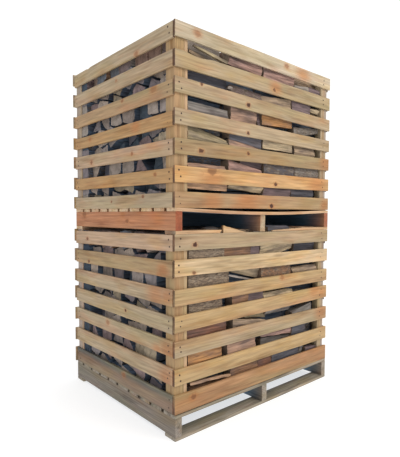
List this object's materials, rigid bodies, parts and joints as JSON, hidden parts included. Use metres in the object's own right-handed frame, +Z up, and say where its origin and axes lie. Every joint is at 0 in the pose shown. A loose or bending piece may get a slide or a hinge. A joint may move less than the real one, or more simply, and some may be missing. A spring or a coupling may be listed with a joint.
{
  "type": "pallet of oak firewood",
  "caption": "Split oak firewood stacked in slatted wooden crates on stringer pallets, one crate standing on the other.",
  "frame": {"origin": "middle of the floor under the load", "axes": "+Z up; the front with the fork openings faces -Y; the stringers run along Y and the logs along X"},
  "size_m": [1.233, 1.016, 1.897],
  "materials": {
    "slat_wood": "rough sawn new pine, dull",
    "pallet_wood_upper": "rough sawn reddish softwood, dull",
    "pallet_wood_lower": "rough sawn weathered wood, dull",
    "split_oak": "split oak with bark, dull",
    "nail_steel": "dull dark nail heads"
  },
  "bodies": {
    "root": {"lower_stringer_left": "pallet_wood_lower", "lower_stringer_middle": "pallet_wood_lower", "lower_stringer_right": "pallet_wood_lower", "lower_deck_board_1": "pallet_wood_lower", "lower_deck_board_2": "pallet_wood_lower", "lower_deck_board_3": "pallet_wood_lower", "lower_deck_board_4": "pallet_wood_lower", "lower_deck_board_5": "pallet_wood_lower", "lower_deck_board_6": "pallet_wood_lower", "lower_deck_board_7": "pallet_wood_lower", "lower_deck_board_8": "pallet_wood_lower", "lower_deck_board_9": "pallet_wood_lower", "lower_deck_board_10": "pallet_wood_lower", "lower_bottom_board_back": "pallet_wood_lower", "lower_bottom_board_front": "pallet_wood_lower", "lower_slats_front": "slat_wood", "lower_slats_left": "slat_wood", "lower_slats_back": "slat_wood", "lower_slats_right": "slat_wood", "lower_firewood_bay_1": "split_oak", "lower_firewood_bay_2": "split_oak", "lower_firewood_bay_3": "split_oak", "lower_firewood_bay_4": "split_oak", "upper_stringer_left": "pallet_wood_upper", "upper_stringer_middle": "pallet_wood_upper", "upper_stringer_right": "pallet_wood_upper", "upper_deck_board_1": "pallet_wood_upper", "upper_deck_board_2": "pallet_wood_upper", "upper_deck_board_3": "pallet_wood_upper", "upper_deck_board_4": "pallet_wood_upper", "upper_deck_board_5": "pallet_wood_upper", "upper_deck_board_6": "pallet_wood_upper", "upper_deck_board_7": "pallet_wood_upper", "upper_deck_board_8": "pallet_wood_upper", "upper_deck_board_9": "pallet_wood_upper", "upper_deck_board_10": "pallet_wood_upper", "upper_bottom_board_back": "pallet_wood_upper", "upper_bottom_board_stub_left": "pallet_wood_upper", "upper_bottom_board_stub_right": "pallet_wood_upper", "upper_slats_front": "slat_wood", "upper_slats_left": "slat_wood", "upper_slats_back": "slat_wood", "upper_slats_right": "slat_wood", "upper_firewood_bay_1": "split_oak", "upper_firewood_bay_2": "split_oak", "upper_firewood_bay_3": "split_oak", "upper_firewood_bay_4": "split_oak", "lower_board_shard": "slat_wood"}
  },
  "joints": []
}
